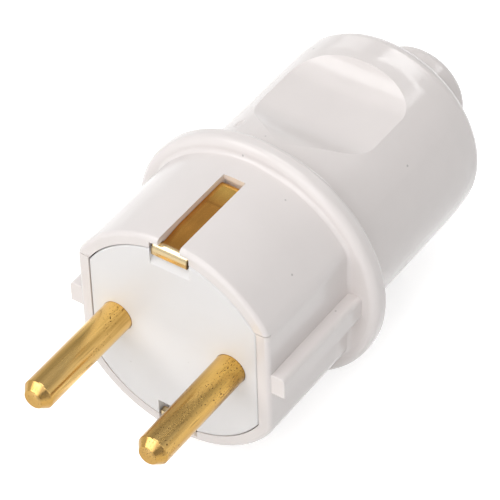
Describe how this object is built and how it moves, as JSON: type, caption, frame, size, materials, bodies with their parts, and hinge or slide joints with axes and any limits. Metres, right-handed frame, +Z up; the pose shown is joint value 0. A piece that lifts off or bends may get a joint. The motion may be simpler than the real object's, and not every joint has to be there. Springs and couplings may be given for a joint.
{
  "type": "electrical plug",
  "caption": "Straight rewireable mains plug: white moulded casing with flanged nose, thumb scoops and cord neck, round brass pins and a brass earth strap along the nose.",
  "frame": {"origin": "centre of the mating face, midway between the pins", "axes": "+X to the right when facing the pins, +Y back along the plug's axis to the cord neck, +Z up to the upper earth contact; the pins point along -Y"},
  "size_m": [0.0408, 0.0842, 0.0408],
  "materials": {
    "casing_plastic": "white moulded, satin gloss",
    "carrier_plastic": "white moulded, fine matt",
    "pin_brass": "drawn, lightly pitted",
    "strap_brass": "rolled strip",
    "screw_steel": "zinc plated"
  },
  "bodies": {
    "root": {"lower_body": "casing_plastic", "upper_cover": "casing_plastic", "contact_carrier": "carrier_plastic", "left_pin": "pin_brass", "right_pin": "pin_brass", "terminal_screws": "screw_steel", "earth_strap": "strap_brass", "earth_clamp_washer": "screw_steel", "earth_screw": "screw_steel", "cord_clamp": "carrier_plastic", "cord_clamp_screws": "screw_steel", "case_screw": "screw_steel"}
  },
  "joints": []
}
